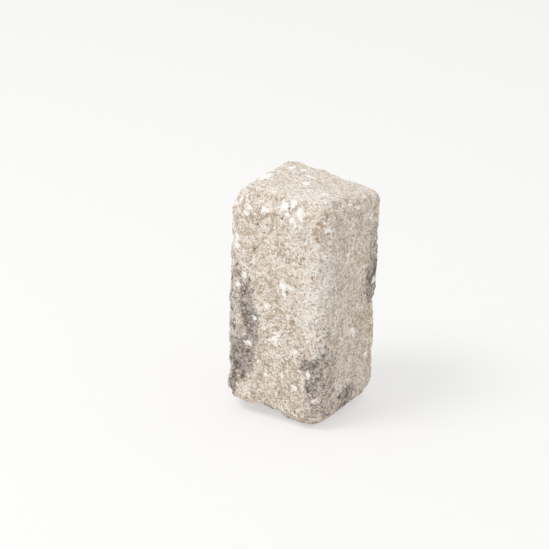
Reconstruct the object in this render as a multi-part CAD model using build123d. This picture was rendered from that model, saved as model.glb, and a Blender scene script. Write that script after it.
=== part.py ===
"""A tumbled concrete palisade edging block, standing on its foot.

Millimetres. X runs along the row of blocks, -Y is the face that shows, +Z is up, and the
origin is the middle of the foot. The block is one pressed concrete piece with flat faces.
Tumbling has knocked off its corners, worn its edges back and bitten chips out of them.
"""

from build123d import *

import os
from itertools import product
from random import Random

# Overall size, over the flat faces
block_width = 120.0
block_depth = 120.0
block_height = 250.0

# Radius that every worn edge and corner ends in
arris_radius = 11.0

# How far each corner is knocked back along its three edges, before the rounding
knock_top_front_left = 24.0
knock_top_front_right = 13.0
knock_top_back_left = 17.0
knock_top_back_right = 16.0
knock_foot_front_left = 18.0
knock_foot_front_right = 18.0
knock_foot_back_left = 14.0
knock_foot_back_right = 17.0

# How far an edge is worn back at each end, as a share of the knock of the corner there
top_edge_share = 0.40
upright_edge_share = 0.22
foot_edge_share = 0.42

# Where the top falls away towards its back right corner: how far the fall reaches along the
# back edge and along the right edge, and how far the corner itself has dropped
fall_along_back = 105.0
fall_along_right = 90.0
fall_drop = 15.0

# Chips: how long each is along its edge, and how deep it bites below the worn edge
front_foot_chip_length = 34.0
front_foot_chip_bite = 6.8
front_foot_corner_chip_length = 42.0
front_foot_corner_chip_bite = 4.0
front_left_chip_length = 24.0
front_left_chip_bite = 1.8
back_left_chip_length = 36.0
back_left_chip_bite = 3.0
back_right_chip_length = 50.0
back_right_chip_bite = 4.5
left_foot_chip_length = 40.0
left_foot_chip_bite = 4.0

# Where each chip's middle lies along its edge, from the left face, the front face or the foot
front_foot_chip_from_left = 52.0
front_foot_corner_chip_from_left = 20.0
front_left_chip_height = 192.0
back_left_chip_height = 74.0
back_right_chip_height = 108.0
left_foot_chip_from_front = 70.0

# How far the chips of the front's foot lean: 0 bites halfway between the front and the foot, as
# every other chip does, and 1 bites straight up, from under the front
front_foot_chip_lean = 1.0

# Small bites along every edge: about how far apart they are and how far each may stray from that,
# how much of the edge's ends they leave free, and how long and deep the largest are
bite_spacing = 20.0
bite_stray = 8.0
bite_margin = 28.0
bite_length = 26.0
bite_depth = 3.0

# The share by which the smallest bites are smaller than the largest
bite_variety = 0.65

# Which of the many possible patterns of bites this block has
bite_pattern = 1426

LEFT, RIGHT = -1, 1
FRONT, BACK = -1, 1
FOOT, TOP = -1, 1

KNOCKS = {
    (LEFT, FRONT, TOP): knock_top_front_left,
    (RIGHT, FRONT, TOP): knock_top_front_right,
    (LEFT, BACK, TOP): knock_top_back_left,
    (RIGHT, BACK, TOP): knock_top_back_right,
    (LEFT, FRONT, FOOT): knock_foot_front_left,
    (RIGHT, FRONT, FOOT): knock_foot_front_right,
    (LEFT, BACK, FOOT): knock_foot_back_left,
    (RIGHT, BACK, FOOT): knock_foot_back_right,
}


def along(axis, length):
    """The vector of that length along X, Y or Z, for axis 0, 1 or 2."""
    return Vector(*(length if axis == i else 0 for i in range(3)))


def corner_point(sides, inset):
    """The corner on those three sides of the block, drawn in by inset from each face."""
    half_width = block_width / 2 - inset
    half_depth = block_depth / 2 - inset
    height = block_height - inset if sides[2] == TOP else inset
    return Vector(sides[0] * half_width, sides[1] * half_depth, height)


def edges():
    """The twelve edges, each as the sides that its low end lies on and the axis it runs along."""
    return [
        (sides, axis)
        for axis in (2, 1, 0)
        for sides in product((-1, 1), repeat=3)
        if sides[axis] == -1
    ]


def edge_share(sides, axis):
    """The share of its corners' knocks by which the edge along that axis is worn back."""
    if axis == 2:
        return upright_edge_share
    return top_edge_share if sides[2] == TOP else foot_edge_share


def cut_off(solid, point_a, point_b, point_c):
    """The solid with what lies outside the plane through three points cut away."""
    outward = (point_b - point_a).cross(point_c - point_a).normalized()
    if outward.dot(point_a - solid.center()) < 0:
        outward = -outward
    return split(solid, bisect_by=Plane(origin=point_a, z_dir=outward), keep=Keep.BOTTOM)


def wear_edge(solid, sides, axis):
    """The solid with a flat worn along one edge, wider towards the corner that was hit harder.

    sides gives the edge's start, at the low end of its axis.
    """
    first, second = (i for i in range(3) if i != axis)
    end_sides = tuple(1 if i == axis else side for i, side in enumerate(sides))
    share = edge_share(sides, axis)
    start, end = corner_point(sides, arris_radius), corner_point(end_sides, arris_radius)
    start_wear, end_wear = KNOCKS[sides] * share, KNOCKS[end_sides] * share
    return cut_off(
        solid,
        start - along(first, sides[first] * start_wear),
        start - along(second, sides[second] * start_wear),
        end - along(first, sides[first] * end_wear),
    )


def knock_corner(solid, sides):
    """The solid with one corner knocked off, equally far along its three edges."""
    corner = corner_point(sides, arris_radius)
    reaches = (corner - along(axis, sides[axis] * KNOCKS[sides]) for axis in range(3))
    return cut_off(solid, *reaches)


def let_top_fall(solid):
    """The solid with its top falling away towards the back right corner."""
    corner = corner_point((RIGHT, BACK, TOP), arris_radius)
    return cut_off(
        solid,
        corner - along(0, fall_along_back),
        corner - along(1, fall_along_right),
        corner - along(2, fall_drop),
    )


def worn_body():
    """The block without its chips: a core of flat cuts, grown outwards by the arris radius."""
    core = Pos(0, 0, block_height / 2) * Box(
        block_width - 2 * arris_radius,
        block_depth - 2 * arris_radius,
        block_height - 2 * arris_radius,
    )
    for sides, axis in edges():
        core = wear_edge(core, sides, axis)
    for sides in KNOCKS:
        core = knock_corner(core, sides)
    core = let_top_fall(core)
    return offset(core, amount=arris_radius, kind=Kind.ARC)


def chip(body, sides, axis, distance, length, bite, lean=0.0):
    """The round bite to take out of one edge of the worn body.

    distance is how far the chip's middle lies from the edge's start, length is the chip's
    length along the worn edge, and bite is its depth there. It bites halfway between the edge's
    two faces, or leans towards the second of them, up to straight at it with a lean of 1.
    """
    first, second = (i for i in range(3) if i != axis)
    place = corner_point(sides, 0) + along(axis, distance)
    outward = along(first, sides[first] * (1 - lean)) + along(second, sides[second] * (1 + lean))
    outward = outward.normalized()
    radius = (length**2 / 4 + bite**2) / (2 * bite)
    depth = body.distance_to(Vertex(*place)) + bite
    return Pos(place + outward * (radius - depth)) * Sphere(radius)


def large_chips(body):
    """The six large chips."""
    return (
        chip(
            body, (LEFT, FRONT, FOOT), 0, front_foot_chip_from_left,
            front_foot_chip_length, front_foot_chip_bite, front_foot_chip_lean,
        ),
        chip(
            body, (LEFT, FRONT, FOOT), 0, front_foot_corner_chip_from_left,
            front_foot_corner_chip_length, front_foot_corner_chip_bite, front_foot_chip_lean,
        ),
        chip(
            body, (LEFT, FRONT, FOOT), 2, front_left_chip_height,
            front_left_chip_length, front_left_chip_bite,
        ),
        chip(
            body, (LEFT, BACK, FOOT), 2, back_left_chip_height,
            back_left_chip_length, back_left_chip_bite,
        ),
        chip(
            body, (RIGHT, BACK, FOOT), 2, back_right_chip_height,
            back_right_chip_length, back_right_chip_bite,
        ),
        chip(
            body, (LEFT, FRONT, FOOT), 1, left_foot_chip_from_front,
            left_foot_chip_length, left_foot_chip_bite,
        ),
    )


def small_bites(body):
    """The bites along all twelve edges, of one shape, but each of its own size and out of step."""
    draw = Random(bite_pattern).uniform
    bites = []
    for sides, axis in edges():
        bitten = (block_width, block_depth, block_height)[axis] - 2 * bite_margin
        count = round(bitten / bite_spacing)
        for number in range(count):
            even_distance = bite_margin + (number + 0.5) * bitten / count
            distance = even_distance + draw(-bite_stray, bite_stray)
            size = draw(1 - bite_variety, 1)
            bites.append(chip(body, sides, axis, distance, size * bite_length, size * bite_depth))
    return bites


def palisade_block():
    """The whole block, with its chips and bites cut out."""
    body = worn_body()
    block = body
    for bite in (*large_chips(body), *small_bites(body)):
        block -= bite
    return block


os.makedirs("parts", exist_ok=True)
export_step(palisade_block(), "parts/palisade_block.step")
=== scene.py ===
"""Looks of a tumbled concrete palisade edging block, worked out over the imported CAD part.

The block is one piece of concrete, pressed in a mould and then tumbled in a drum. Pressing
leaves flat, open-pored faces of sand and grit, with clouds of a second, grey batch in the cream
one. Tumbling knocks the edges round, bites flakes out of them and leaves white lime scuffs.

Shapes are worked out in millimetres and written to the mesh in metres, in the frame of the CAD
part: +X runs along the row of blocks, -Y is the face that shows, +Z is up, and the origin is the
middle of the foot.
"""

import logging
import math
from dataclasses import dataclass, field
from enum import Enum
from itertools import product
from typing import Any

import bpy
import numpy as np
from mathutils import Matrix, Vector

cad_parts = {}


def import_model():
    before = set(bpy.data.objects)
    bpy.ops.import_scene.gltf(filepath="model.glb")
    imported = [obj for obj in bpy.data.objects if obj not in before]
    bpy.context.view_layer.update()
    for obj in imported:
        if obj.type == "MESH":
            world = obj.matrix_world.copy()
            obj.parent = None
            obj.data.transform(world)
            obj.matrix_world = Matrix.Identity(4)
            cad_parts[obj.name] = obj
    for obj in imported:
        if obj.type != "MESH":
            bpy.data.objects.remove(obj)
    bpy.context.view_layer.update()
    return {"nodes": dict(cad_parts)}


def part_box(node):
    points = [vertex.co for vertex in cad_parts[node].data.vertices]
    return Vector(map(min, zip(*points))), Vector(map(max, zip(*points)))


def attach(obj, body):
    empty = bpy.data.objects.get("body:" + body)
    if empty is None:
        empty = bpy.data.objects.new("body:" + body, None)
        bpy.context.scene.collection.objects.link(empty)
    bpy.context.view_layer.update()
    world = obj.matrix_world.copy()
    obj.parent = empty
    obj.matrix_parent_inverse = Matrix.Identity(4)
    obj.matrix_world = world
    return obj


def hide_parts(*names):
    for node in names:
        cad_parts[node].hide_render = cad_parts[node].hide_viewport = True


NODE = "palisade_block"

MM = 0.001
PHOTO_PIXELS = 549
SENSOR_MM = 36.0

Tree = bpy.types.NodeTree
Socket = bpy.types.NodeSocket

# Sockets of the Mix node when it mixes colours
MIX_A, MIX_B, MIX_RESULT = 6, 7, 2

# The level that Blender's noise varies about, and how strong each finer layer of it is
NOISE_MIDDLE = 0.5
RAGGEDNESS = 0.78

# Large odd numbers that stir the bits of a lattice cell, the last two with their shifts
CELL_FACTORS = (0x8DA6B343, 0xD8163841, 0xCB1AB31F)
SEED_FACTOR = 0x9E3779B9
STIRS = ((15, 0x2C1B3C6D), (12, 0x297A2D39))
LAST_SHIFT = 15
WORD = 0xFFFFFFFF

log = logging.getLogger(NODE)


def linear(hex_colour: str) -> tuple[float, float, float, float]:
    """Turns an sRGB colour into the linear one that Blender's sockets take.

    Args:
        hex_colour: the colour as #RRGGBB.

    Returns:
        Red, green, blue and an alpha of 1.
    """
    shares = [int(hex_colour[i : i + 2], 16) / 255 for i in (1, 3, 5)]
    red, green, blue = (s / 12.92 if s <= 0.04045 else ((s + 0.055) / 1.055) ** 2.4 for s in shares)
    return red, green, blue, 1.0


def smooth_step(low: float, high: float, values: np.ndarray) -> np.ndarray:
    """Rises smoothly from 0 at low to 1 at high, or falls where low is the larger.

    Formula: with s the share of the way from low to high, kept from 0 to 1, three times the
    square of s less twice its cube.

    Args:
        low: where the rise starts.
        high: where it ends.
        values: the numbers to look up.

    Returns:
        Numbers from 0 to 1, in the shape of values.
    """
    share = np.clip((values - low) / (high - low), 0.0, 1.0)
    return share * share * (3.0 - 2.0 * share)


def cell_random(cells: np.ndarray, seed: int) -> np.ndarray:
    """Gives each cell of a lattice its own even random number.

    Formula: the three whole numbers are each multiplied by a large odd number and joined with the
    seed by exclusive or; the bits are then stirred by two shifts and multiplications.

    Args:
        cells: whole numbers, three to a row.
        seed: picks another set of numbers.

    Returns:
        One number from 0 to 1 for each row.
    """
    bits = np.uint32(seed * SEED_FACTOR & WORD)
    for axis, factor in enumerate(CELL_FACTORS):
        bits = bits ^ cells[..., axis].astype(np.uint32) * np.uint32(factor)
    for shift, factor in STIRS:
        bits = (bits ^ (bits >> np.uint32(shift))) * np.uint32(factor)
    return (bits ^ (bits >> np.uint32(LAST_SHIFT))) / (WORD + 1.0)


def smooth_noise(points: np.ndarray, size: float, seed: int) -> np.ndarray:
    """Smooth random hills and hollows, about size apart.

    Formula: each corner of a cubic lattice has a random slope. A point adds up the slopes of the
    eight corners around it, each times the way from that corner and faded out by a fifth-order
    curve along the three axes. The sum is doubled.

    Args:
        points: places in mm, three to a row.
        size: the lattice step in mm.
        seed: picks another set of hills.

    Returns:
        One height for each point, mostly from -1 to 1.
    """
    scaled = points / size
    base = np.floor(scaled).astype(np.int64)
    inside = scaled - base
    fade = inside**3 * (inside * (inside * 6.0 - 15.0) + 10.0)
    height = np.zeros(len(points))
    for corner in product((0, 1), repeat=3):
        step = np.array(corner)
        slopes = [2.0 * cell_random(base + step, 3 * seed + axis) - 1.0 for axis in range(3)]
        weight = np.where(step, fade, 1.0 - fade).prod(axis=1)
        height += weight * ((inside - step) * np.stack(slopes, axis=1)).sum(axis=1)
    return 2.0 * height


def rough_noise(points: np.ndarray, size: float, seed: int, layers: int) -> np.ndarray:
    """Several layers of smooth noise, each half as large and half as high as the last.

    Args:
        points: places in mm, three to a row.
        size: the size of the largest hills in mm.
        seed: picks another set of hills.
        layers: how many layers are added up.

    Returns:
        One height for each point, mostly from -1 to 1.
    """
    halves = [0.5**layer for layer in range(layers)]
    parts = (
        half * smooth_noise(points, size * half, seed + 31 * layer)
        for layer, half in enumerate(halves)
    )
    return sum(parts) / math.sqrt(sum(half * half for half in halves))


def nearest_spot(points: np.ndarray, spacing: float, seed: int) -> tuple[np.ndarray, np.ndarray]:
    """Finds the nearest of many scattered spots.

    Formula: each cell of a cubic lattice holds one spot at a random place. The distances to the
    spots of the 27 cells around a point are compared, and the least is kept.

    Args:
        points: places in mm, three to a row.
        spacing: the lattice step in mm.
        seed: picks another scatter.

    Returns:
        The distance to the nearest spot in mm, and that spot's own random number from 0 to 1.
    """
    scaled = points / spacing
    base = np.floor(scaled).astype(np.int64)
    least = np.full(len(points), np.inf)
    chance = np.zeros(len(points))
    for step in product((-1, 0, 1), repeat=3):
        cell = base + np.array(step)
        spot = cell + np.stack([cell_random(cell, 5 * seed + axis) for axis in range(3)], axis=1)
        distance = np.linalg.norm(scaled - spot, axis=1)
        nearer = distance < least
        least = np.where(nearer, distance, least)
        chance = np.where(nearer, cell_random(cell, 5 * seed + 3), chance)
    return least * spacing, chance


@dataclass
class Skin:
    """The outer surface of the block: a closed mesh of quads, in mm.

    Attributes:
        points: the vertices, three numbers to a row.
        quads: four vertex numbers to a row, turned so that the faces point outwards.
    """

    points: np.ndarray
    quads: np.ndarray

    def normals(self) -> np.ndarray:
        """Works out the outward direction at each vertex.

        Formula: a quad's direction is the cross product of its diagonals, and a vertex adds up
        the directions of its quads and scales the sum to length 1.

        Returns:
            One unit vector for each vertex.
        """
        corners = self.points[self.quads]
        across = np.cross(corners[:, 2] - corners[:, 0], corners[:, 3] - corners[:, 1])
        flat = self.quads.ravel()
        total = np.stack(
            [np.bincount(flat, np.repeat(across[:, i], 4), len(self.points)) for i in range(3)],
            axis=1,
        )
        return total / np.linalg.norm(total, axis=1, keepdims=True)

    def spread(self, values: np.ndarray, rounds: int) -> np.ndarray:
        """Blurs a value over the surface.

        Formula: each round gives a vertex the mean of itself and the mean of its neighbours.

        Args:
            values: one number for each vertex.
            rounds: how many times the blur is repeated.

        Returns:
            The blurred values.
        """
        start = self.quads.ravel()
        end = np.roll(self.quads, -1, axis=1).ravel()
        count = np.bincount(start, minlength=len(values))
        for _ in range(rounds):
            values = 0.5 * (values + np.bincount(start, values[end], len(values)) / count)
        return values


@dataclass(frozen=True)
class RoundedBoxGrid:
    """An even grid over a box with well-rounded edges, the blank that the block is formed from.

    Attributes:
        low: the lowest corner of the box in mm.
        high: its highest corner.
        step: the grid's step in mm.
        rounding: the radius of the edges in mm.
    """

    low: np.ndarray
    high: np.ndarray
    step: float
    rounding: float

    def skin(self) -> Skin:
        """Makes the grid.

        Formula: the six sides of the box are even grids that share the vertices of their common
        edges. Each vertex is then drawn along the line to the nearest point of a smaller box, the
        rounding inside this one, until it lies the rounding away from it.

        Returns:
            The closed surface.
        """
        counts = np.rint((self.high - self.low) / self.step).astype(int)
        corners, quads, first = [], [], 0
        for axis, side in product(range(3), (0, 1)):
            u, v = (axis + 1) % 3, (axis + 2) % 3
            lattice = np.zeros((counts[u] + 1, counts[v] + 1, 3), int)
            lattice[..., axis] = counts[axis] * side
            lattice[..., u] = np.arange(counts[u] + 1)[:, None]
            lattice[..., v] = np.arange(counts[v] + 1)[None, :]
            index = first + np.arange(lattice[..., 0].size).reshape(lattice.shape[:2])
            around = (index[:-1, :-1], index[1:, :-1], index[1:, 1:], index[:-1, 1:])
            faces = np.stack(around if side else around[::-1], axis=-1)
            corners.append(lattice.reshape(-1, 3))
            quads.append(faces.reshape(-1, 4))
            first += index.size
        shared, place = np.unique(np.concatenate(corners), axis=0, return_inverse=True)
        box_points = self.low + shared / counts * (self.high - self.low)
        core = np.clip(box_points, self.low + self.rounding, self.high - self.rounding)
        outward = box_points - core
        outward /= np.linalg.norm(outward, axis=1, keepdims=True)
        return Skin(core + outward * self.rounding, place.reshape(-1)[np.concatenate(quads)])


@dataclass(frozen=True)
class Blotch:
    """A rounded place on the block.

    Attributes:
        centre: its middle in mm, in the frame of the block.
        reach: how far it reaches from its middle along the three axes, in mm.
        strength: the level that it doesn't pass.
        squareness: the power that its outline follows, from 2 for an ellipse up towards a box.
        crispness: how many times steeper than usual it falls off, for a border less torn.
    """

    centre: tuple[float, float, float]
    reach: tuple[float, float, float]
    strength: float = 1.0
    squareness: float = 2.0
    crispness: float = 1.0

    def level(self, points: np.ndarray) -> np.ndarray:
        """How far inside the blotch each point is.

        Formula: the ways from the middle along the three axes, each as a share of the reach, are
        raised to the squareness and added up. The sum's root is taken from 1, and what is left is
        multiplied by the crispness.

        Args:
            points: places in mm, three to a row.

        Returns:
            Up to the strength in the middle, 0 on the outline and less outside, down to -1.
        """
        ways = np.abs((points - np.array(self.centre)) / np.array(self.reach))
        away = (ways**self.squareness).sum(axis=1) ** (1.0 / self.squareness)
        return np.clip(self.crispness * (1.0 - away), -1.0, self.strength)


def deepest(blotches: tuple[Blotch, ...], points: np.ndarray) -> np.ndarray:
    """How far inside the nearest of several blotches each point is, from -1 to 1."""
    return np.max([blotch.level(points) for blotch in blotches], axis=0)


@dataclass(frozen=True)
class Relief:
    """What pressing and tumbling leave on the surface.

    Sizes, heights, depths, spacings and radii are in mm. Pairs are the levels between which
    something goes from none to full.

    Attributes:
        edge_flatness: how flat the skin is where an edge starts, and where it is full.
        edge_gain: how much the blurred edge is strengthened.
        broken_lumps: by what share lumps are higher in a broken place; broken_grit is the same.
        crest: the highest level of swells and lumps, as a share of their heights' sum.
        pit_least: the radius of the smallest pores, as a share of pit_radius.
        pit_variety: how much that share grows to the largest.
    """

    swell_size: float = 44.0
    swell_height: float = 0.45
    lump_size: float = 13.0
    lump_height: float = 0.5
    grit_size: float = 3.4
    grit_height: float = 0.34
    flake_size: float = 15.0
    flake_depth: float = 2.0
    nick_size: float = 6.0
    nick_depth: float = 1.0
    edge_swell: float = 1.0
    edge_flatness: tuple[float, float] = (0.96, 0.86)
    edge_gain: float = 1.3
    edge_rounds: int = 14
    flake_levels: tuple[float, float] = (-0.15, 0.8)
    nick_levels: tuple[float, float] = (0.1, 0.7)
    broken_lumps: float = 1.3
    broken_grit: float = 0.6
    crest: float = 0.8
    pit_spacing: float = 6.5
    pit_share: float = 0.3
    pit_radius: float = 1.5
    pit_least: float = 0.55
    pit_variety: float = 0.9
    pit_walls: tuple[float, float] = (1.0, 0.3)
    pit_depth: float = 0.75

    def edge_share(self, skin: Skin) -> np.ndarray:
        """How near each vertex is to a worn edge or corner.

        Formula: the largest part of the outward direction along one axis is 1 on a flat side and
        less on a rounding. Its fall is read as 0 to 1, blurred and strengthened.

        Args:
            skin: the surface before its relief.

        Returns:
            Numbers from 0, on the flat, to 1.
        """
        flatness = np.abs(skin.normals()).max(axis=1)
        edge = skin.spread(smooth_step(*self.edge_flatness, flatness), self.edge_rounds)
        return np.clip(self.edge_gain * edge, 0.0, 1.0)

    def pits(self, points: np.ndarray) -> np.ndarray:
        """How deep each point lies in a pore, from 0 outside to 1 in the middle of one."""
        distance, chance = nearest_spot(points, self.pit_spacing, seed=11)
        radius = self.pit_radius * (self.pit_least + self.pit_variety * chance / self.pit_share)
        depth = smooth_step(*self.pit_walls, distance / radius)
        return np.where(chance < self.pit_share, depth, 0.0)

    def depth(
        self, points: np.ndarray, edge: np.ndarray, rough: np.ndarray, pits: np.ndarray
    ) -> np.ndarray:
        """How far the surface lies below the smooth one.

        Formula: long swells, lumps and grit are added up and taken from their highest level, so
        that they only go inwards. Flakes are bitten out of the edges where a noise passes a
        level, with a rough floor, and pores are sunk everywhere.

        Args:
            points: the smooth surface in mm.
            edge: how near an edge each point is, from 0 to 1.
            rough: how much a broken place roughens it, from 0 to 1.
            pits: how deep each point lies in a pore, as a share of a common pore's depth.

        Returns:
            Depths in mm, below 0 where an edge stands out.
        """
        swell = self.swell_height * smooth_noise(points, self.swell_size, seed=1)
        lump_height = self.lump_height * (1.0 + self.broken_lumps * rough)
        lumps = lump_height * rough_noise(points, self.lump_size, seed=2, layers=3)
        grit_height = self.grit_height * (1.0 + self.broken_grit * rough)
        grit = grit_height * rough_noise(points, self.grit_size, seed=3, layers=2)
        flake_noise = rough_noise(points, self.flake_size, seed=4, layers=3)
        flakes = smooth_step(*self.flake_levels, flake_noise) * self.flake_depth
        nick_noise = rough_noise(points, self.nick_size, seed=5, layers=2)
        nicks = smooth_step(*self.nick_levels, nick_noise) * self.nick_depth
        highest = self.crest * (self.swell_height + self.lump_height)
        waves = np.maximum(highest - swell - lumps - grit, 0.0)
        broken = edge * (flakes + nicks - self.edge_swell)
        return waves + broken + self.pit_depth * pits


def add_node(
    tree: Tree, kind: str, links: dict[str | int, Any] | None = None, **settings: Any
) -> bpy.types.Node:
    """Adds a node, with its settings and what goes into it.

    Args:
        tree: the node tree that it is added to.
        kind: the node's type in Blender, less the ShaderNode at its start.
        links: for an input, by name or number, the socket that is linked to it or its value.
        settings: the node's own properties.

    Returns:
        The node.
    """
    node = tree.nodes.new(f"ShaderNode{kind}")
    for name, value in settings.items():
        setattr(node, name, value)
    for key, value in (links or {}).items():
        if isinstance(value, Socket):
            tree.links.new(value, node.inputs[key])
        else:
            node.inputs[key].default_value = value
    return node


def frequency(size: float) -> float:
    """The scale of a pattern whose parts are size mm across, on coordinates in metres."""
    return 1.0 / (size * MM)


class Mark(Enum):
    """The values that the mesh carries for its material, one to a vertex."""

    GREY = "grey"
    LIME = "lime"
    EDGE = "edge"
    PIT = "pit"
    RUST = "rust"
    TOP = "top"
    COARSE = "coarse"
    PAINTED_LIGHT = "pale"


@dataclass(frozen=True)
class Scatter:
    """Grains or pores scattered over the surface, each of its own strength.

    Attributes:
        spacing: how far apart the places for one are, in mm.
        radius: its radius in mm.
        share: the share of the places that hold one.
        border: where its soft border starts and where it ends, in radii.
    """

    spacing: float
    radius: float
    share: float
    border: tuple[float, float] = (1.5, 0.4)

    def drawn(self, tree: Tree, vector: Socket) -> Socket:
        """Draws them.

        Args:
            tree: the node tree.
            vector: the coordinates in metres.

        Returns:
            A socket that is up to 1 in a grain and 0 outside.
        """
        cells = add_node(
            tree, "TexVoronoi", {"Vector": vector, "Scale": frequency(self.spacing)}
        )
        chance = add_node(tree, "SeparateColor", {"Color": cells.outputs["Color"]})
        strength = add_node(
            tree, "MapRange",
            {"Value": chance.outputs["Red"], "From Min": self.share, "From Max": 0.0},
        )
        outer, inner = (radii * self.radius / self.spacing for radii in self.border)
        inside = add_node(
            tree, "MapRange",
            {"Value": cells.outputs["Distance"], "From Min": outer, "From Max": inner},
            interpolation_type="SMOOTHSTEP",
        )
        both = add_node(
            tree, "Math", {0: strength.outputs[0], 1: inside.outputs[0]}, operation="MULTIPLY"
        )
        return both.outputs[0]


@dataclass(frozen=True)
class Patches:
    """Irregular patches where a noise passes a level, alone or added to a mark of the mesh.

    Attributes:
        size: the size of the largest patches, or of the tears in their borders, in mm.
        start: the level at which a patch starts. The noise itself varies about a half.
        full: the level at which it is full.
        most: the value of a full patch.
        detail: how many finer layers the noise has.
        mark: the mesh's value that is added to the noise, if any.
        tear: how much the noise counts beside the mark.
    """

    size: float
    start: float
    full: float
    most: float = 1.0
    detail: float = 3.0
    mark: Mark | None = None
    tear: float = 1.0

    def drawn(self, tree: Tree, vector: Socket) -> Socket:
        """Draws them.

        Args:
            tree: the node tree.
            vector: the coordinates in metres.

        Returns:
            A socket that is most in a patch and 0 outside.
        """
        level = add_node(tree, "TexNoise", {
            "Vector": vector,
            "Scale": frequency(self.size),
            "Detail": self.detail,
            "Roughness": RAGGEDNESS,
        }).outputs[0]
        if self.mark is not None:
            place = add_node(tree, "Attribute", attribute_name=self.mark.value)
            level = add_node(
                tree, "Math", {0: level, 1: self.tear, 2: place.outputs["Fac"]},
                operation="MULTIPLY_ADD",
            ).outputs[0]
        patch = add_node(tree, "MapRange", {
            "Value": level,
            "From Min": self.start,
            "From Max": self.full,
            "To Max": self.most,
        }, interpolation_type="SMOOTHSTEP")
        return patch.outputs[0]


@dataclass(frozen=True)
class Coat:
    """Something that colours part of the surface, in the cream batch and in the grey one.

    Attributes:
        share: a socket that says where it lies, from 0 to 1.
        cream: its colour in the cream batch.
        grey: its colour in the grey batch.
    """

    share: Socket
    cream: str
    grey: str


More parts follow.
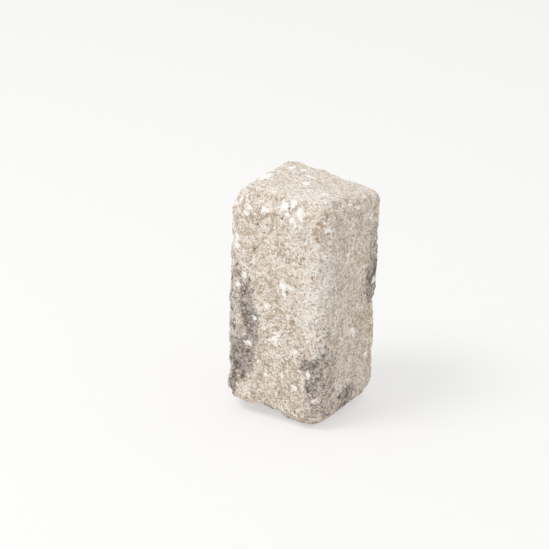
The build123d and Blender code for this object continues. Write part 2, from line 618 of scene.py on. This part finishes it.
@dataclass(frozen=True)
class TumbledConcrete:
    """Pressed concrete, cream with grey clouds, tumbled.

    What gives it away: a dry, matt, sandy skin with pale grit and small pores, darkened with
    painted shade; clouds of a grey batch with torn borders; chalk-white lime where edges were
    struck; a few ochre grains and a rust stain from a grain of iron.

    Sizes, reaches and heights are in mm. Real sand and its pores go down to 0.3 mm, and here they
    are 1.5 to 2.4 mm apart, the finest that shows. A lift is the height of one part of the grain
    as a share of the bump's. Between a pair of tones, of the random ones that grains of sand
    have, darker or lighter sand goes from none to its full share.
    """

    bend_size: float = 2.2
    bend_reach: float = 2.5
    bend_detail: float = 2.0
    mottle: Patches = Patches(11.0, 0.38, 0.62)
    warmth: Patches = Patches(5.0, 0.50, 0.75)
    pale: Patches = Patches(3.8, 0.57, 0.67, detail=2.0)
    clusters: Patches = Patches(13.0, 0.40, 0.62, detail=2.0)
    islands: Patches = Patches(5.0, 0.56, 0.68, 0.65)
    clouds: Patches = Patches(7.0, 1.3, 1.9, 1.0, 5.0, Mark.GREY, 2.6)
    lime: Patches = Patches(5.0, 2.25, 2.63, 1.0, 5.0, Mark.LIME, 4.5)
    flecks: Patches = Patches(9.0, 6.25, 6.7, 1.0, 5.0, Mark.EDGE, 9.0)
    # Painted light, in the places that the mesh marks
    painted_light_patches: Patches = Patches(8.0, 1.0, 2.0, 0.75, 5.0, Mark.PAINTED_LIGHT, 2.0)
    rust: Patches = Patches(3.0, 1.0, 1.9, 0.9, 5.0, Mark.RUST, 2.0)
    pores: Scatter = Scatter(2.4, 0.78, 0.95)
    holes: Scatter = Scatter(4.2, 0.85, 0.9)
    grit: Scatter = Scatter(4.4, 1.2, 0.6)
    stones: Scatter = Scatter(9.0, 2.2, 0.6)
    ochre: Scatter = Scatter(7.0, 1.0, 0.6)
    sand_size: float = 1.7
    sand_softness: float = 0.6
    sand_share: float = 0.45
    dark_tones: tuple[float, float] = (0.45, 0.10)
    light_tones: tuple[float, float] = (0.50, 0.90)
    top_smoothness: float = 0.35
    lime_smoothness: float = 0.75
    # Painted light: how strongly the top is painted paler, as if lit more from above
    top_light_share: float = 0.40
    sparse_pores: float = 0.6
    full_crowd: float = 1.3
    # Painted shade: how dark the pits and blow holes are painted
    pit_shade_strength: float = 0.85
    grain_size: float = 1.5
    grain_lift: float = -0.8
    pale_lift: float = 0.6
    light_sand_lift: float = 0.8
    pore_lift: float = -1.2
    bump_height: float = 0.3
    roughness: float = 0.9

    def bent(self, tree: Tree, place: Socket) -> Socket:
        """Shifts the coordinates a little at random, so that no grain is a clean circle.

        Args:
            tree: the node tree.
            place: the coordinates in metres.

        Returns:
            The shifted coordinates.
        """
        shift = add_node(tree, "TexNoise", {
            "Vector": place,
            "Scale": frequency(self.bend_size),
            "Detail": self.bend_detail,
        })
        about_zero = add_node(
            tree, "VectorMath", {0: shift.outputs["Color"], 1: (NOISE_MIDDLE,) * 3},
            operation="SUBTRACT",
        )
        reach = (self.bend_reach * MM,) * 3
        moved = add_node(
            tree, "VectorMath", {0: about_zero.outputs[0], 1: reach, 2: place},
            operation="MULTIPLY_ADD",
        )
        return moved.outputs[0]

    def grey_share(self, tree: Tree, bent: Socket) -> Socket:
        """Where the grey batch lies: torn clouds with cream islands in them.

        Args:
            tree: the node tree.
            bent: the shifted coordinates in metres.

        Returns:
            A socket from 0, in the cream batch, to 1.
        """
        cloud = self.clouds.drawn(tree, bent)
        island = self.islands.drawn(tree, bent)
        left = add_node(tree, "Math", {0: 1.0, 1: island}, operation="SUBTRACT")
        share = add_node(tree, "Math", {0: cloud, 1: left.outputs[0]}, operation="MULTIPLY")
        return share.outputs[0]

    def open_pores(
        self, tree: Tree, place: Socket, bent: Socket, top: Socket, lime: Socket
    ) -> Socket:
        """Where pores are open.

        They crowd in places and on the coarse foot. The trowelled top has fewer of them, and
        lime closes most.

        Args:
            tree: the node tree.
            place: the coordinates in metres.
            bent: the shifted ones.
            top: where the top is.
            lime: where lime lies.

        Returns:
            A socket that is up to 1 in a pore and 0 outside.
        """
        factors = [
            add_node(tree, "MapRange", {"Value": share, "To Min": 1.0, "To Max": 1.0 - closed})
            for share, closed in ((top, self.top_smoothness), (lime, self.lime_smoothness))
        ]
        coarse = add_node(tree, "Attribute", attribute_name=Mark.COARSE.value)
        cluster = self.clusters.drawn(tree, place)
        crowd = add_node(tree, "Math", {0: cluster, 1: coarse.outputs["Fac"]}, operation="ADD")
        levels = {"From Max": self.full_crowd, "To Min": self.sparse_pores}
        factors.append(add_node(tree, "MapRange", {"Value": crowd.outputs[0], **levels}))
        pores, holes = (scatter.drawn(tree, bent) for scatter in (self.pores, self.holes))
        factors.append(add_node(tree, "Math", {0: pores, 1: holes}, operation="MAXIMUM"))
        share = factors[0].outputs[0]
        for factor in factors[1:]:
            share = add_node(
                tree, "Math", {0: share, 1: factor.outputs[0]}, operation="MULTIPLY"
            ).outputs[0]
        return share

    def sand(self, tree: Tree, bent: Socket) -> tuple[Socket, Socket]:
        """Gives each grain of sand a tone of its own.

        Args:
            tree: the node tree.
            bent: the shifted coordinates in metres.

        Returns:
            The shares of darker and of lighter sand.
        """
        cells = add_node(tree, "TexVoronoi", {
            "Vector": bent,
            "Scale": frequency(self.sand_size),
            "Smoothness": self.sand_softness,
        }, feature="SMOOTH_F1")
        tone = add_node(tree, "SeparateColor", {"Color": cells.outputs["Color"]}).outputs["Red"]
        dark, light = (
            add_node(
                tree, "MapRange",
                {"Value": tone, "From Min": none, "From Max": full, "To Max": self.sand_share},
                interpolation_type="SMOOTHSTEP",
            ).outputs[0]
            for none, full in (self.dark_tones, self.light_tones)
        )
        return dark, light

    def coated(
        self, tree: Tree, start: Socket, grey_share: Socket, coats: tuple[Coat, ...]
    ) -> Socket:
        """Lays coats over a colour, one after the other.

        Args:
            tree: the node tree.
            start: the colour below them.
            grey_share: where the grey batch lies.
            coats: the coats, the lowest first.

        Returns:
            The colour on top.
        """
        colour = start
        for coat in coats:
            tint = add_node(
                tree, "Mix", {0: grey_share, MIX_A: linear(coat.cream), MIX_B: linear(coat.grey)},
                data_type="RGBA",
            )
            laid = add_node(
                tree, "Mix", {0: coat.share, MIX_A: colour, MIX_B: tint.outputs[MIX_RESULT]},
                data_type="RGBA",
            )
            colour = laid.outputs[MIX_RESULT]
        return colour

    def material(self) -> bpy.types.Material:
        """Makes the material.

        Returns:
            The material, with its colour and bump worked out by nodes.
        """
        material = bpy.data.materials.new("pressed_tumbled_concrete")
        material.use_nodes = True
        tree = material.node_tree
        shader = tree.nodes["Principled BSDF"]
        place = add_node(tree, "TexCoord").outputs["Object"]
        bent = self.bent(tree, place)
        grey_share = self.grey_share(tree, bent)
        top, pit = (
            add_node(tree, "Attribute", attribute_name=mark.value).outputs["Fac"]
            for mark in (Mark.TOP, Mark.PIT)
        )
        # Painted light on the top, painted paler where light falls from above, and painted shade in
        # the pits
        painted_top_light, painted_pit_shade = (
            add_node(tree, "Math", {0: share, 1: strength}, operation="MULTIPLY").outputs[0]
            for share, strength in ((top, self.top_light_share), (pit, self.pit_shade_strength))
        )
        lime = self.lime.drawn(tree, bent)
        open_pores = self.open_pores(tree, place, bent, top, lime)
        dark_sand, light_sand = self.sand(tree, bent)
        pale = self.pale.drawn(tree, bent)
        grit = self.grit.drawn(tree, bent)
        base = add_node(
            tree, "Mix", {0: grey_share, MIX_A: linear("#C3B3A0"), MIX_B: linear("#665D58")},
            data_type="RGBA",
        )
        colour = self.coated(tree, base.outputs[MIX_RESULT], grey_share, (
            Coat(self.mottle.drawn(tree, place), "#EADFD2", "#B2A8A0"),
            Coat(self.warmth.drawn(tree, bent), "#D4BA9B", "#9C8C7E"),
            # Painted light: the top is painted paler, as if lit more from above
            Coat(painted_top_light, "#F0E7DC", "#C9C0B8"),
            # Painted light: paler where light falls on the rounded edges of the front and on the
            # top
            Coat(self.painted_light_patches.drawn(tree, bent), "#F1E9E0", "#C9C0B8"),
            Coat(dark_sand, "#927B65", "#554C47"),
            Coat(light_sand, "#FFFBF4", "#C9C0B8"),
            Coat(pale, "#FAF7F1", "#D9D1C9"),
            Coat(grit, "#FBF8F3", "#E2DBD3"),
            Coat(self.stones.drawn(tree, bent), "#F1E9DF", "#CFC6BC"),
            Coat(self.ochre.drawn(tree, bent), "#BC9064", "#A98866"),
            Coat(self.flecks.drawn(tree, bent), "#F8F4EE", "#DFD8CE"),
            Coat(lime, "#FCF9F4", "#F8F5F0"),
            Coat(self.rust.drawn(tree, bent), "#AC8350", "#A1734C"),
            # Painted shade: the open pores are coloured dark for the shade that falls in them
            Coat(open_pores, "#6E5947", "#453D38"),
            # Painted shade in the pits and blow holes of the mesh, darker the deeper they are
            Coat(painted_pit_shade, "#5F4F43", "#463F3A"),
        ))
        tree.links.new(colour, shader.inputs["Base Color"])

        # The grain that the mesh is too coarse for: sand and grit stand up, pores are holes
        grains = add_node(
            tree, "TexVoronoi", {"Vector": bent, "Scale": frequency(self.grain_size)}
        )
        height = grit
        for socket, lift in (
            (grains.outputs["Distance"], self.grain_lift),
            (pale, self.pale_lift),
            (light_sand, self.light_sand_lift),
            (open_pores, self.pore_lift),
        ):
            height = add_node(
                tree, "Math", {0: socket, 1: lift, 2: height}, operation="MULTIPLY_ADD"
            ).outputs[0]
        bump = add_node(
            tree, "Bump", {"Height": height, "Distance": self.bump_height * MM}
        )
        tree.links.new(bump.outputs[0], shader.inputs["Normal"])
        shader.inputs["Roughness"].default_value = self.roughness
        return material


@dataclass(frozen=True)
class PalisadeBlock:
    """The block: its worn shape, its relief and the marks that its material reads.

    Places are in mm in the frame of the block. What the photograph doesn't show, on the other
    sides, is laid out in the same manner.

    Attributes:
        grid_step: the step of the mesh's grid.
        blank_rounding: the radius of the blank's edges, which spreads the grid round them.
        softening: how far each round of smoothing goes.
        coarse_foot: the heights between which the concrete turns coarse.
        top_turn: how far up the skin faces where the top starts, and where it is full.
        hole_wall: the level inside a blow hole at which it has its full depth.
        hole_depth: that depth, in those of a common pore.
        pit_shade_share: how much painted shade a common pore gets, beside the darkest.
    """

    relief: Relief = field(default_factory=Relief)
    finish: TumbledConcrete = field(default_factory=TumbledConcrete)
    grid_step: float = 1.25
    blank_rounding: float = 30.0
    softening: float = 0.5
    softening_rounds: int = 3
    coarse_foot: tuple[float, float] = (170.0, 90.0)
    top_turn: tuple[float, float] = (0.6, 0.95)
    hole_wall: float = 0.6
    hole_depth: float = 2.0
    pit_shade_share: float = 0.45

    grey_clouds: tuple[Blotch, ...] = (
        # The left arris of the front, from above
        Blotch((-49, -57, 172), (8, 12, 18), 0.15),
        Blotch((-46, -60, 167), (4, 8, 6), 0.5),
        Blotch((-45, -57, 140), (21, 18, 23), 0.3, 3, 2),
        Blotch((-33, -60, 130), (9, 12, 16), 0.8, 2, 1.5),
        Blotch((-45, -57, 103), (14, 18, 24), 0.25, 4, 2),
        Blotch((-27, -60, 112), (10.5, 12, 17), 1.6, 3, 2),
        Blotch((-25, -60, 92), (9, 12, 14), 1.9, 3, 2.5),
        Blotch((-40, -57, 64), (20, 18, 27), 1, 3, 2),
        Blotch((-34, -60, 68), (13, 12, 14), 1.4, 2, 1.5),
        Blotch((-49, -57, 38), (9, 18, 24), 0.7, 2, 1.5),
        # The right end of the front's foot
        Blotch((60, -58, 50), (21, 30, 37), 0.3, 6, 3),
        Blotch((44, -60, 72), (12, 16, 12), 0.9, 2, 1.5),
        Blotch((47, -60, 51), (10, 16, 12), 0.7, 2, 1.5),
        Blotch((60, -56, 100), (9, 14, 20), 0.15),
        # The left side
        Blotch((-60, 36, 88), (12, 20, 34), 0.35, 3, 2),
        Blotch((-60, 16, 50), (12, 18, 24), 0.8, 3, 2),
        Blotch((-60, 24, 68), (12, 11, 15), 1.3, 2, 1.5),
        # The back
        Blotch((-42, 60, 178), (20, 14, 24), 0.35, 3, 2),
        Blotch((-32, 60, 146), (22, 14, 22), 0.8, 3, 2),
        Blotch((-38, 60, 158), (13, 12, 14), 1.3, 2, 1.5),
        Blotch((50, 60, 88), (16, 14, 30), 0.35, 3, 2),
        Blotch((42, 60, 44), (18, 14, 24), 0.8, 3, 2),
        # The right side
        Blotch((60, 46, 178), (14, 15, 28), 0.35, 3, 2),
        Blotch((60, 42, 138), (14, 18, 28), 0.8, 3, 2),
        Blotch((60, 48, 152), (12, 9, 14), 1.3, 2, 1.5),
        Blotch((60, -6, 20), (12, 18, 16), 0.4, 3, 2),
    )
    lime_scuffs: tuple[Blotch, ...] = (
        # Along the worn top edge of the front
        Blotch((-32, -57, 231), (3, 12, 4)),
        Blotch((-36, -58, 225), (3.5, 12, 3)),
        Blotch((-14, -57, 234), (5, 12, 4)),
        Blotch((3, -56, 240), (4, 12, 2.5)),
        Blotch((9, -56, 241), (3, 12, 3), 0.8),
        Blotch((15, -55, 245), (4, 12, 4), 0.7),
        Blotch((12, -57, 234), (3, 12, 2.5), 0.6),
        Blotch((19, -57, 230), (4, 12, 4), 0.7),
        Blotch((24, -56, 240), (2.5, 12, 4), 0.8),
        Blotch((28, -57, 235), (3, 12, 4), 0.8),
        Blotch((22, -57, 225), (2, 12, 2.5), 0.7),
        Blotch((57, -56, 225), (4, 12, 3.5)),
        Blotch((-47, -54, 236), (3, 8, 4), 0.5),
        # On the front
        Blotch((-49, -58, 193), (6, 10, 8)),
        Blotch((-46, -60, 187), (4, 8, 4), 0.7),
        Blotch((-36, -60, 157), (4, 8, 6)),
        Blotch((-44, -60, 144), (3.5, 8, 3.5)),
        Blotch((-7, -60, 129), (4, 8, 4)),
        Blotch((9, -60, 155), (5.5, 8, 4), 1, 2, 2),
        Blotch((11.5, -60, 149), (3, 8, 7), 1, 2, 2),
        Blotch((19, -60, 154.5), (4, 8, 3), 1, 2, 2),
        Blotch((-30, -60, 82), (6.5, 8, 3), 0.8),
        Blotch((-22.5, -60, 112), (3.2, 8, 2.4), 0.8),
        Blotch((4, -60, 95), (6, 8, 8), 0.4),
        Blotch((27, -60, 86), (3, 8, 3)),
        Blotch((12, -60, 55), (2, 8, 5)),
        Blotch((-8, -60, 51), (3.5, 8, 2.5), 0.7),
        Blotch((26, -60, 45), (6, 8, 3), 0.5),
        Blotch((53, -60, 36), (6, 12, 2.5)),
        Blotch((43, -60, 64), (2.5, 8, 5)),
        # On the left side
        Blotch((-59, -24, 236), (12, 4, 4)),
        Blotch((-59, 16, 237), (12, 6, 3), 0.7),
        Blotch((-60, -18, 178), (8, 3, 7), 0.8),
        Blotch((-60, 27, 150), (8, 6, 3.5)),
        Blotch((-60, 31, 145), (8, 3, 6)),
        Blotch((-60, -10, 112), (8, 3, 4), 0.7),
        Blotch((-60, 8, 76), (8, 3.5, 3.5)),
        Blotch((-60, -28, 42), (8, 6, 3), 0.6),
        # On the back
        Blotch((-38, 58, 236), (5, 12, 4)),
        Blotch((-12, 58, 231), (4, 12, 3), 0.8),
        Blotch((31, 57, 222), (4, 12, 4)),
        Blotch((-22, 60, 190), (3, 8, 7), 0.8),
        Blotch((25, 60, 166), (6, 8, 3.5)),
        Blotch((21, 60, 161), (3, 8, 6)),
        Blotch((2, 60, 108), (5, 8, 3), 0.6),
        Blotch((37, 60, 82), (3, 8, 6)),
        Blotch((-17, 60, 50), (4.5, 8, 3)),
        # On the right side
        Blotch((59, 2, 233), (12, 5, 3), 0.8),
        Blotch((60, 34, 212), (10, 4, 5)),
        Blotch((60, -14, 184), (8, 3, 6), 0.7),
        Blotch((60, 45, 138), (8, 5, 4)),
        Blotch((60, -34, 128), (8, 3, 4), 0.7),
        Blotch((60, 1, 96), (8, 6, 3)),
        Blotch((60, 5, 91), (8, 3, 5)),
        Blotch((60, 34, 56), (8, 4, 4), 0.7),
        # On the top
        Blotch((-33, 25, 250), (4, 6, 9)),
        Blotch((-21, 28, 250), (3, 5, 9)),
        Blotch((-5, 17, 250), (8, 4, 9)),
        Blotch((3, -5, 250), (4, 7, 9), 0.6),
        Blotch((31, -20, 250), (5, 7, 9), 0.6),
        Blotch((-42, -12, 248), (6, 14, 9), 0.6),
    )
    painted_light_zones: tuple[Blotch, ...] = (
        # Painted light, where the front is paler along its rounded right side and its top edge
        Blotch((50, -58, 158), (26, 20, 78), 0.75, 3, 1.5),
        Blotch((36, -60, 202), (24, 10, 22), 0.6, 3, 1.5),
        Blotch((26, -58, 228), (20, 14, 20), 0.5),
        Blotch((2, -58, 243), (24, 14, 12), 0.5),
        # Painted light on the top, towards the front right
        Blotch((26, -34, 250), (40, 34, 14), 0.6),
        Blotch((-38, -22, 250), (14, 30, 14), 0.3),
    )
    rust_stains: tuple[Blotch, ...] = (
        Blotch((48.5, -56, 232), (3.4, 16, 3.8), 1, 2, 1.5),
        Blotch((47.5, -56, 222), (5, 14, 12), 0.4),
        Blotch((49.5, -60, 213), (2.4, 8, 2.4), 0.8, 2, 1.5),
        Blotch((43.5, -60, 172.5), (2.2, 8, 2), 1.1, 2, 2.5),
        Blotch((34.5, -60, 43), (2.5, 8, 3.5), 0.45),
        Blotch((21, -60, 34), (3, 8, 4), 0.5),
        Blotch((24, -60, 36), (16, 8, 14), 0.05),
        Blotch((-8, -60, 72), (8, 8, 6), 0.05),
    )
    blow_holes: tuple[Blotch, ...] = (
        Blotch((5.5, -58, 228), (2.6, 10, 1.9)),
        Blotch((12, -56, 240.5), (1.8, 10, 1.6)),
        Blotch((-22, -60, 216), (1.6, 8, 2.2)),
        Blotch((-25, -60, 188), (1.8, 8, 1.8)),
        Blotch((14, -60, 149), (2.4, 8, 2)),
        Blotch((-30.5, -60, 152.5), (2.4, 8, 2)),
        Blotch((33, -60, 191), (1.6, 8, 1.8)),
        Blotch((-16, 12, 250), (1.8, 3.2, 9)),
        Blotch((42, -3, 250), (1.8, 3.2, 9)),
        Blotch((18, 28, 250), (1.8, 3.2, 9)),
        Blotch((1, 1, 250), (1.6, 3.2, 9)),
    )
    broken_places: tuple[Blotch, ...] = (
        Blotch((-12, -58, 4), (40, 20, 20)),
        Blotch((-56, 10, 2), (16, 30, 14)),
        Blotch((58, 58, 108), (16, 16, 32)),
        Blotch((-58, 58, 74), (16, 16, 26)),
    )

    def fitted_skin(self, cad_node: bpy.types.Object) -> Skin:
        """Lays the grid onto the CAD solid.

        The grid of a rounded box is drawn along its own outward directions onto the solid's
        surface. A few rounds of smoothing then take the sharp borders off its facets and chips.

        Args:
            cad_node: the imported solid, which is only read.

        Returns:
            The fitted surface in mm.
        """
        low, high = (np.array(corner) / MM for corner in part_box(NODE))
        blank = RoundedBoxGrid(low, high, self.grid_step, self.blank_rounding).skin()
        piece = self.mesh_object("blank", blank)
        wrap = piece.modifiers.new("onto_the_solid", "SHRINKWRAP")
        wrap.target = cad_node
        wrap.wrap_method = "PROJECT"
        wrap.use_negative_direction = True
        wrap.use_positive_direction = True
        soften = piece.modifiers.new("soften", "SMOOTH")
        soften.factor = self.softening
        soften.iterations = self.softening_rounds
        evaluated = piece.evaluated_get(bpy.context.evaluated_depsgraph_get())
        flat = np.empty(len(blank.points) * 3, np.float32)
        evaluated.data.vertices.foreach_get("co", flat)
        mesh = piece.data
        bpy.data.objects.remove(piece)
        bpy.data.meshes.remove(mesh)
        return Skin(flat.reshape(-1, 3).astype(float) / MM, blank.quads)

    def mesh_object(self, name: str, skin: Skin) -> bpy.types.Object:
        """Makes a mesh object of a surface, at the origin, unturned and unscaled.

        Args:
            name: the object's name.
            skin: the surface in mm.

        Returns:
            The object, linked into the scene.
        """
        mesh = bpy.data.meshes.new(name)
        count = len(skin.quads)
        mesh.vertices.add(len(skin.points))
        mesh.vertices.foreach_set("co", (skin.points * MM).astype(np.float32).ravel())
        mesh.loops.add(4 * count)
        mesh.loops.foreach_set("vertex_index", skin.quads.astype(np.int32).ravel())
        mesh.polygons.add(count)
        mesh.polygons.foreach_set("loop_start", np.arange(0, 4 * count, 4, dtype=np.int32))
        mesh.update(calc_edges=True)
        mesh.validate()
        mesh.shade_smooth()
        piece = bpy.data.objects.new(name, mesh)
        bpy.context.scene.collection.objects.link(piece)
        return piece

    def build(self, cad_node: bpy.types.Object) -> bpy.types.Object:
        """Builds the dressed block.

        Args:
            cad_node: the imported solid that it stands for.

        Returns:
            The block's object.
        """
        skin = self.fitted_skin(cad_node)
        edge = self.relief.edge_share(skin)
        rough = np.clip(deepest(self.broken_places, skin.points), 0.0, 1.0)
        holes = smooth_step(0.0, self.hole_wall, deepest(self.blow_holes, skin.points))
        pits = np.maximum(self.relief.pits(skin.points), self.hole_depth * holes)
        depth = self.relief.depth(skin.points, edge, rough, pits)
        marks = {
            Mark.GREY: deepest(self.grey_clouds, skin.points),
            Mark.LIME: deepest(self.lime_scuffs, skin.points),
            Mark.EDGE: edge,
            # Painted shade in the pores and blow holes, stronger the deeper they are
            Mark.PIT: np.minimum(self.pit_shade_share * pits, 1.0),
            Mark.RUST: deepest(self.rust_stains, skin.points),
            Mark.TOP: smooth_step(*self.top_turn, skin.normals()[:, 2]),
            Mark.COARSE: smooth_step(*self.coarse_foot, skin.points[:, 2]),
            # Where light is painted on the rounded edges and the top
            Mark.PAINTED_LIGHT: deepest(self.painted_light_zones, skin.points),
        }
        low, high = (np.array(corner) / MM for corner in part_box(NODE))
        worn = np.clip(skin.points - skin.normals() * depth[:, None], low, high)
        piece = self.mesh_object("tumbled_block", Skin(worn, skin.quads))
        for mark, values in marks.items():
            attribute = piece.data.attributes.new(mark.value, "FLOAT", "POINT")
            attribute.data.foreach_set("value", values.astype(np.float32))
        piece.data.materials.append(self.finish.material())
        return piece


@dataclass(frozen=True)
class Studio:
    """A plain pale floor, soft light and the camera. Lengths are in metres, angles in degrees."""

    floor_half: float = 7.0
    floor_colour: str = "#F4F3F1"
    floor_roughness: float = 0.9
    floor_glow: float = 0.5
    sky_level: float = 0.74
    key_level: float = 0.40
    key_place: tuple[float, float, float] = (-1.1, -1.7, 3.1)
    key_aim: tuple[float, float, float] = (0.0, 0.0, 0.12)
    key_width: float = 1.6
    camera_place: tuple[float, float, float] = (1.1098, -1.9630, 1.1022)
    camera_azimuth: float = 30.25
    camera_elevation: float = 23.02
    camera_roll: float = 1.80
    focal_pixels: float = 2352.0
    nearest_seen: float = 0.05
    farthest_seen: float = 50.0

    def floor(self) -> None:
        """Lays the floor, which isn't part of the block.

        The camera sees it halfway to white, so that the background is pale and the block's
        shadow stays. To the block it is a plain floor.
        """
        half = self.floor_half
        mesh = bpy.data.meshes.new("floor")
        corners = [(-half, -half, 0.0), (half, -half, 0.0), (half, half, 0.0), (-half, half, 0.0)]
        mesh.from_pydata(corners, [], [(0, 1, 2, 3)])
        material = bpy.data.materials.new("studio_floor")
        material.use_nodes = True
        tree = material.node_tree
        shader = tree.nodes["Principled BSDF"]
        shader.inputs["Base Color"].default_value = linear(self.floor_colour)
        shader.inputs["Roughness"].default_value = self.floor_roughness
        shader.inputs["Specular IOR Level"].default_value = 0.0
        rays = add_node(tree, "LightPath")
        glow = add_node(
            tree, "Math", {0: rays.outputs["Is Camera Ray"], 1: self.floor_glow},
            operation="MULTIPLY",
        )
        white = add_node(tree, "Emission")
        seen = add_node(
            tree, "MixShader", {0: glow.outputs[0], 1: shader.outputs[0], 2: white.outputs[0]}
        )
        tree.links.new(seen.outputs[0], tree.nodes["Material Output"].inputs["Surface"])
        mesh.materials.append(material)
        floor = bpy.data.objects.new("floor", mesh)
        bpy.context.scene.collection.objects.link(floor)

    def world(self) -> None:
        """Sets soft light from all round, and plain white where the camera looks past the floor."""
        world = bpy.data.worlds.new("studio")
        world.use_nodes = True
        bpy.context.scene.world = world
        tree = world.node_tree
        rays = add_node(tree, "LightPath")
        seen = rays.outputs["Is Camera Ray"]
        for kind in ("Is Glossy Ray", "Is Transmission Ray"):
            seen = add_node(
                tree, "Math", {0: seen, 1: rays.outputs[kind]}, operation="MAXIMUM"
            ).outputs[0]
        level = add_node(tree, "MapRange", {"Value": seen, "To Min": self.sky_level})
        tree.links.new(level.outputs[0], tree.nodes["Background"].inputs["Strength"])
        tree.nodes["Background"].inputs["Color"].default_value = (1.0, 1.0, 1.0, 1.0)

    def key_lamp(self) -> None:
        """Hangs the one large soft lamp, pointed at the middle of the block.

        Its power follows from the light wanted at the block, as a share of what renders a colour
        as written: a flat lamp of power P gives P / (pi squared times the distance squared).
        """
        aim = Vector(self.key_aim)
        place = Vector(self.key_place)
        distance = (place - aim).length
        light = bpy.data.lights.new("key", "AREA")
        light.shape = "DISK"
        light.size = self.key_width
        light.energy = self.key_level * math.pi**2 * distance**2
        lamp = bpy.data.objects.new("key", light)
        lamp.matrix_world = Matrix.Translation(place) @ (
            (place - aim).to_track_quat("Z", "Y").to_matrix().to_4x4()
        )
        bpy.context.scene.collection.objects.link(lamp)

    def camera(self) -> None:
        """Sets the scene's camera at the photograph's viewpoint.

        Formula: the forward direction follows from azimuth and elevation. The level right-hand
        direction and the downward one across it are turned by the roll.
        """
        azimuth, elevation, roll = (
            math.radians(angle)
            for angle in (self.camera_azimuth, self.camera_elevation, self.camera_roll)
        )
        level = Vector((math.cos(azimuth), math.sin(azimuth), 0.0))
        forward = Vector((
            -math.sin(azimuth) * math.cos(elevation),
            math.cos(azimuth) * math.cos(elevation),
            -math.sin(elevation),
        ))
        down = forward.cross(level)
        right_rolled = math.cos(roll) * level - math.sin(roll) * down
        down_rolled = math.sin(roll) * level + math.cos(roll) * down
        lens = bpy.data.cameras.new("camera")
        lens.sensor_width = SENSOR_MM
        lens.lens = SENSOR_MM * self.focal_pixels / PHOTO_PIXELS
        lens.clip_start = self.nearest_seen
        lens.clip_end = self.farthest_seen
        camera = bpy.data.objects.new("camera", lens)
        turned = Matrix((right_rolled, -down_rolled, -forward)).transposed()
        camera.matrix_world = Matrix.Translation(self.camera_place) @ turned.to_4x4()
        bpy.context.scene.collection.objects.link(camera)
        bpy.context.scene.camera = camera

    def build(self) -> None:
        """Sets up everything round the block."""
        bpy.context.scene.view_settings.view_transform = "Standard"
        self.world()
        self.floor()
        self.key_lamp()
        self.camera()


def main() -> None:
    """Loads the frame, builds the studio and the block, hangs the block under the root body and
    hides the CAD part.
    """
    logging.basicConfig(level=logging.INFO, format="%(name)s: %(message)s")
    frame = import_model()
    Studio().build()
    block = PalisadeBlock().build(frame["nodes"][NODE])
    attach(block, "root")
    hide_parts(NODE)
    log.info("%s has %d faces", block.name, len(block.data.polygons))


if __name__ == "__main__":
    main()
